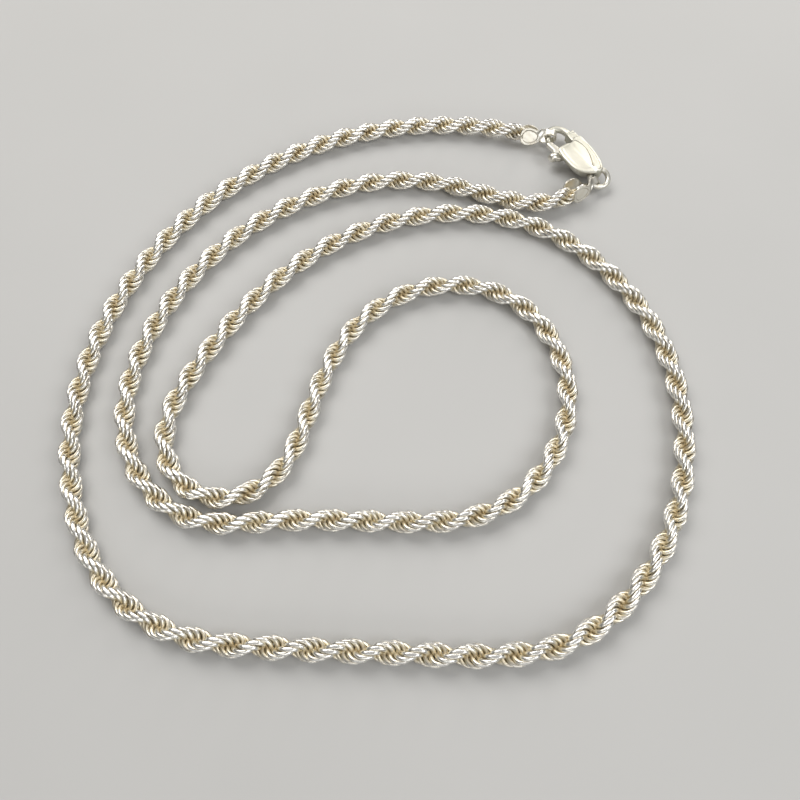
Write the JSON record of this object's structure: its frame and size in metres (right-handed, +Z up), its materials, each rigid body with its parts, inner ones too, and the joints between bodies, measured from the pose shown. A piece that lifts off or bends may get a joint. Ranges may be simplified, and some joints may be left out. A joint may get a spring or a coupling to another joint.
{
  "type": "rope chain necklace",
  "caption": "Fine twisted rope chain necklace lying in a flat double coil, fastened with a lobster clasp, jump ring and folded end caps.",
  "frame": {"origin": "on the surface the necklace lies on, under the middle of its bounding box", "axes": "+Z up from the surface; +Y from the near side of the coil towards the clasp side; +X towards the side the clasp is on"},
  "size_m": [0.0844, 0.086, 0.0038],
  "materials": {
    "rope_silver": "diamond-cut sterling silver wire, bright facets with a warm tarnish in the recesses",
    "clasp_silver": "satin cast silver",
    "polished_silver": "polished silver strip and wire",
    "spring_steel": "plain spring leaf"
  },
  "bodies": {
    "clasp_body": {"clasp_body": "clasp_silver", "clasp_pin": "clasp_silver", "clasp_spring": "spring_steel"},
    "clasp_lever": {"clasp_lever": "polished_silver"},
    "jump_ring": {"jump_ring": "polished_silver"},
    "end_cap_b": {"end_cap_b": "polished_silver", "rope_end_b": "rope_silver"},
    "end_cap_a": {"end_cap_a": "polished_silver", "rope_end_a": "rope_silver"},
    "rope_01": {"rope_01": "rope_silver"},
    "rope_02": {"rope_02": "rope_silver"},
    "rope_03": {"rope_03": "rope_silver"},
    "rope_04": {"rope_04": "rope_silver"},
    "rope_05": {"rope_05": "rope_silver"},
    "rope_06": {"rope_06": "rope_silver"},
    "rope_07": {"rope_07": "rope_silver"},
    "rope_08": {"rope_08": "rope_silver"},
    "rope_09": {"rope_09": "rope_silver"},
    "rope_10": {"rope_10": "rope_silver"},
    "rope_11": {"rope_11": "rope_silver"},
    "rope_12": {"rope_12": "rope_silver"},
    "rope_13": {"rope_13": "rope_silver"},
    "rope_14": {"rope_14": "rope_silver"},
    "rope_15": {"rope_15": "rope_silver"},
    "rope_16": {"rope_16": "rope_silver"},
    "rope_17": {"rope_17": "rope_silver"},
    "rope_18": {"rope_18": "rope_silver"},
    "rope_19": {"rope_19": "rope_silver"},
    "rope_20": {"rope_20": "rope_silver"},
    "rope_21": {"rope_21": "rope_silver"},
    "rope_22": {"rope_22": "rope_silver"},
    "rope_23": {"rope_23": "rope_silver"},
    "rope_24": {"rope_24": "rope_silver"},
    "rope_25": {"rope_25": "rope_silver"},
    "rope_26": {"rope_26": "rope_silver"},
    "rope_27": {"rope_27": "rope_silver"},
    "rope_28": {"rope_28": "rope_silver"},
    "rope_29": {"rope_29": "rope_silver"},
    "rope_30": {"rope_30": "rope_silver"},
    "rope_31": {"rope_31": "rope_silver"},
    "rope_32": {"rope_32": "rope_silver"},
    "rope_33": {"rope_33": "rope_silver"},
    "rope_34": {"rope_34": "rope_silver"},
    "rope_35": {"rope_35": "rope_silver"},
    "rope_36": {"rope_36": "rope_silver"},
    "rope_37": {"rope_37": "rope_silver"},
    "rope_38": {"rope_38": "rope_silver"},
    "rope_39": {"rope_39": "rope_silver"},
    "rope_40": {"rope_40": "rope_silver"},
    "rope_41": {"rope_41": "rope_silver"},
    "rope_42": {"rope_42": "rope_silver"}
  },
  "joints": [
    {"name": "clasp_lever_pivot", "type": "hinge", "parent": "clasp_body", "child": "clasp_lever", "pos_m": [0.03389, 0.03332, 0.00189], "axis": [0, 0, 1], "range_deg": [0, 26]},
    {"name": "jump_ring_swing", "type": "hinge", "parent": "clasp_body", "child": "jump_ring", "pos_m": [0.03587, 0.0295, 0.00232], "axis": [-0.9126, -0.4088, 0], "range_deg": [-8, 12]},
    {"name": "end_cap_b_swing", "type": "hinge", "parent": "jump_ring", "child": "end_cap_b", "pos_m": [0.03523, 0.02735, 0.0017], "axis": [0.4308, -0.8434, -0.3209], "range_deg": [-20, 20]},
    {"name": "end_cap_a_swing", "type": "hinge", "parent": "clasp_body", "child": "end_cap_a", "pos_m": [0.02968, 0.03746, 0.0019], "axis": [-0.167, -0.9859, 0], "range_deg": [-20, 20]},
    {"name": "rope_42_slant", "type": "hinge", "parent": "end_cap_b", "child": "rope_42", "pos_m": [0.02971, 0.02435, 0.00187], "axis": [-0.2098, 0.6753, 0.7071], "range_deg": [0, 25]},
    {"name": "rope_41_lift", "type": "hinge", "parent": "rope_42", "child": "rope_41", "pos_m": [0.01676, 0.0271, 0.0015], "axis": [-0.3898, -0.9209, 0], "range_deg": [-25, 25]},
    {"name": "rope_40_slant", "type": "hinge", "parent": "rope_41", "child": "rope_40", "pos_m": [0.00364, 0.03013, 0.0015], "axis": [-0.0035, 0.866, 0.5], "range_deg": [-25, 25]},
    {"name": "rope_39_lift", "type": "hinge", "parent": "rope_40", "child": "rope_39", "pos_m": [-0.00955, 0.02725, 0.0015], "axis": [0.384, -0.9233, 0], "range_deg": [-25, 25]},
    {"name": "rope_38_slant", "type": "hinge", "parent": "rope_39", "child": "rope_38", "pos_m": [-0.02089, 0.01992, 0.0015], "axis": [0.6369, -0.6909, -0.342], "range_deg": [-25, 25]},
    {"name": "rope_37_lift", "type": "hinge", "parent": "rope_38", "child": "rope_37", "pos_m": [-0.02922, 0.00928, 0.0015], "axis": [0.8768, -0.4809, 0], "range_deg": [-25, 25]},
    {"name": "rope_36_slant", "type": "hinge", "parent": "rope_37", "child": "rope_36", "pos_m": [-0.03359, -0.00349, 0.0015], "axis": [0.9323, -0.1178, -0.342], "range_deg": [-25, 25]},
    {"name": "rope_35_lift", "type": "hinge", "parent": "rope_36", "child": "rope_35", "pos_m": [-0.0313, -0.01663, 0.0015], "axis": [-0.8686, -0.4956, 0], "range_deg": [-25, 25]},
    {"name": "rope_34_slant", "type": "hinge", "parent": "rope_35", "child": "rope_34", "pos_m": [-0.0206, -0.02418, 0.0015], "axis": [-0.1473, -0.9281, 0.342], "range_deg": [0, 25]},
    {"name": "rope_33_lift", "type": "hinge", "parent": "rope_34", "child": "rope_33", "pos_m": [-0.00704, -0.02454, 0.0015], "axis": [0.0615, 0.9981, 0], "range_deg": [-25, 25]},
    {"name": "rope_32_slant", "type": "hinge", "parent": "rope_33", "child": "rope_32", "pos_m": [0.0065, -0.02551, 0.0015], "axis": [0.0209, 0.9395, -0.342], "range_deg": [-25, 0]},
    {"name": "rope_31_lift", "type": "hinge", "parent": "rope_32", "child": "rope_31", "pos_m": [0.01917, -0.02159, 0.0015], "axis": [-0.6342, 0.7732, 0], "range_deg": [-25, 25]},
    {"name": "rope_30_slant", "type": "hinge", "parent": "rope_31", "child": "rope_30", "pos_m": [0.02582, -0.01007, 0.0015], "axis": [-0.9254, 0.1634, -0.342], "range_deg": [0, 25]},
    {"name": "rope_29_lift", "type": "hinge", "parent": "rope_30", "child": "rope_29", "pos_m": [0.02341, 0.00299, 0.0015], "axis": [0.8484, 0.5294, 0], "range_deg": [-25, 25]},
    {"name": "rope_28_slant", "type": "hinge", "parent": "rope_29", "child": "rope_28", "pos_m": [0.01217, 0.00964, 0.0015], "axis": [-0.064, -0.9375, -0.342], "range_deg": [-25, 0]},
    {"name": "rope_27_lift", "type": "hinge", "parent": "rope_28", "child": "rope_27", "pos_m": [-0.00036, 0.00538, 0.0015], "axis": [-0.6462, 0.7632, 0], "range_deg": [-25, 25]},
    {"name": "rope_26_slant", "type": "hinge", "parent": "rope_27", "child": "rope_26", "pos_m": [-0.00758, -0.00594, 0.0015], "axis": [-0.8787, 0.3331, 0.342], "range_deg": [-25, 25]},
    {"name": "rope_25_lift", "type": "hinge", "parent": "rope_26", "child": "rope_25", "pos_m": [-0.01312, -0.01821, 0.0015], "axis": [0.724, -0.6898, 0], "range_deg": [-25, 25]},
    {"name": "rope_24_lift", "type": "hinge", "parent": "rope_25", "child": "rope_24", "pos_m": [-0.02526, -0.0186, 0.0015], "axis": [-0.6973, -0.7168, 0], "range_deg": [-25, 25]},
    {"name": "rope_23_lift", "type": "hinge", "parent": "rope_24", "child": "rope_23", "pos_m": [-0.02666, -0.00594, 0.0015], "axis": [-0.9165, 0.4001, 0], "range_deg": [-25, 25]},
    {"name": "rope_22_slant", "type": "hinge", "parent": "rope_23", "child": "rope_22", "pos_m": [-0.01965, 0.00565, 0.0015], "axis": [-0.6916, 0.5213, -0.5], "range_deg": [-25, 25]},
    {"name": "rope_21_lift", "type": "hinge", "parent": "rope_22", "child": "rope_21", "pos_m": [-0.01014, 0.01528, 0.0015], "axis": [-0.6125, 0.7905, 0], "range_deg": [-25, 25]},
    {"name": "rope_20_slant", "type": "hinge", "parent": "rope_21", "child": "rope_20", "pos_m": [0.00186, 0.02146, 0.0015], "axis": [0.2675, -0.9008, 0.342], "range_deg": [-25, 25]},
    {"name": "rope_19_lift", "type": "hinge", "parent": "rope_20", "child": "rope_19", "pos_m": [0.01529, 0.02275, 0.0015], "axis": [0.1154, 0.9933, 0], "range_deg": [-25, 25]},
    {"name": "rope_18_slant", "type": "hinge", "parent": "rope_19", "child": "rope_18", "pos_m": [0.02781, 0.01795, 0.0015], "axis": [-0.4233, -0.5664, 0.7071], "range_deg": [0, 25]},
    {"name": "rope_17_lift", "type": "hinge", "parent": "rope_18", "child": "rope_17", "pos_m": [0.03655, 0.00769, 0.0015], "axis": [-0.8731, -0.4875, 0], "range_deg": [-25, 25]},
    {"name": "rope_16_slant", "type": "hinge", "parent": "rope_17", "child": "rope_16", "pos_m": [0.04059, -0.00516, 0.0015], "axis": [0.8624, 0.0789, -0.5], "range_deg": [-25, 25]},
    {"name": "rope_15_lift", "type": "hinge", "parent": "rope_16", "child": "rope_15", "pos_m": [0.03954, -0.01864, 0.0015], "axis": [0.97, -0.2432, 0], "range_deg": [-25, 25]},
    {"name": "rope_14_slant", "type": "hinge", "parent": "rope_15", "child": "rope_14", "pos_m": [0.03385, -0.03086, 0.0015], "axis": [-0.5664, 0.4233, 0.7071], "range_deg": [0, 25]},
    {"name": "rope_13_lift", "type": "hinge", "parent": "rope_14", "child": "rope_13", "pos_m": [0.02362, -0.03958, 0.0015], "axis": [-0.4236, 0.9058, 0], "range_deg": [-25, 25]},
    {"name": "rope_12_turn", "type": "hinge", "parent": "rope_13", "child": "rope_12", "pos_m": [0.01032, -0.0414, 0.0015], "axis": [0, 0, 1], "range_deg": [0, 25]},
    {"name": "rope_11_lift", "type": "hinge", "parent": "rope_12", "child": "rope_11", "pos_m": [-0.00321, -0.04025, 0.0015], "axis": [-0.0817, -0.9967, 0], "range_deg": [-25, 25]},
    {"name": "rope_10_turn", "type": "hinge", "parent": "rope_11", "child": "rope_10", "pos_m": [-0.01672, -0.03896, 0.0015], "axis": [0, 0, -1], "range_deg": [-25, 0]},
    {"name": "rope_09_lift", "type": "hinge", "parent": "rope_10", "child": "rope_09", "pos_m": [-0.02939, -0.03455, 0.0015], "axis": [-0.5781, -0.816, 0], "range_deg": [-25, 25]},
    {"name": "rope_08_turn", "type": "hinge", "parent": "rope_09", "child": "rope_08", "pos_m": [-0.03755, -0.02394, 0.0015], "axis": [0, 0, 1], "range_deg": [0, 25]},
    {"name": "rope_07_lift", "type": "hinge", "parent": "rope_08", "child": "rope_07", "pos_m": [-0.04064, -0.01078, 0.0015], "axis": [0.9981, 0.0611, 0], "range_deg": [-25, 25]},
    {"name": "rope_06_turn", "type": "hinge", "parent": "rope_07", "child": "rope_06", "pos_m": [-0.03932, 0.00268, 0.0015], "axis": [0, 0, 1], "range_deg": [0, 25]},
    {"name": "rope_05_lift", "type": "hinge", "parent": "rope_06", "child": "rope_05", "pos_m": [-0.03438, 0.01528, 0.0015], "axis": [-0.8762, 0.482, 0], "range_deg": [-25, 25]},
    {"name": "rope_04_turn", "type": "hinge", "parent": "rope_05", "child": "rope_04", "pos_m": [-0.02643, 0.02625, 0.0015], "axis": [0, 0, -1], "range_deg": [-25, 0]},
    {"name": "rope_03_lift", "type": "hinge", "parent": "rope_04", "child": "rope_03", "pos_m": [-0.01582, 0.03464, 0.0015], "axis": [0.5122, -0.8589, 0], "range_deg": [-25, 25]},
    {"name": "rope_02_turn", "type": "hinge", "parent": "rope_03", "child": "rope_02", "pos_m": [-0.00337, 0.03995, 0.0015], "axis": [0, 0, -1], "range_deg": [-25, 21]},
    {"name": "rope_01_lift", "type": "hinge", "parent": "rope_02", "child": "rope_01", "pos_m": [0.01006, 0.04162, 0.0015], "axis": [-0.0216, -0.9998, 0], "range_deg": [-25, 25]}
  ]
}
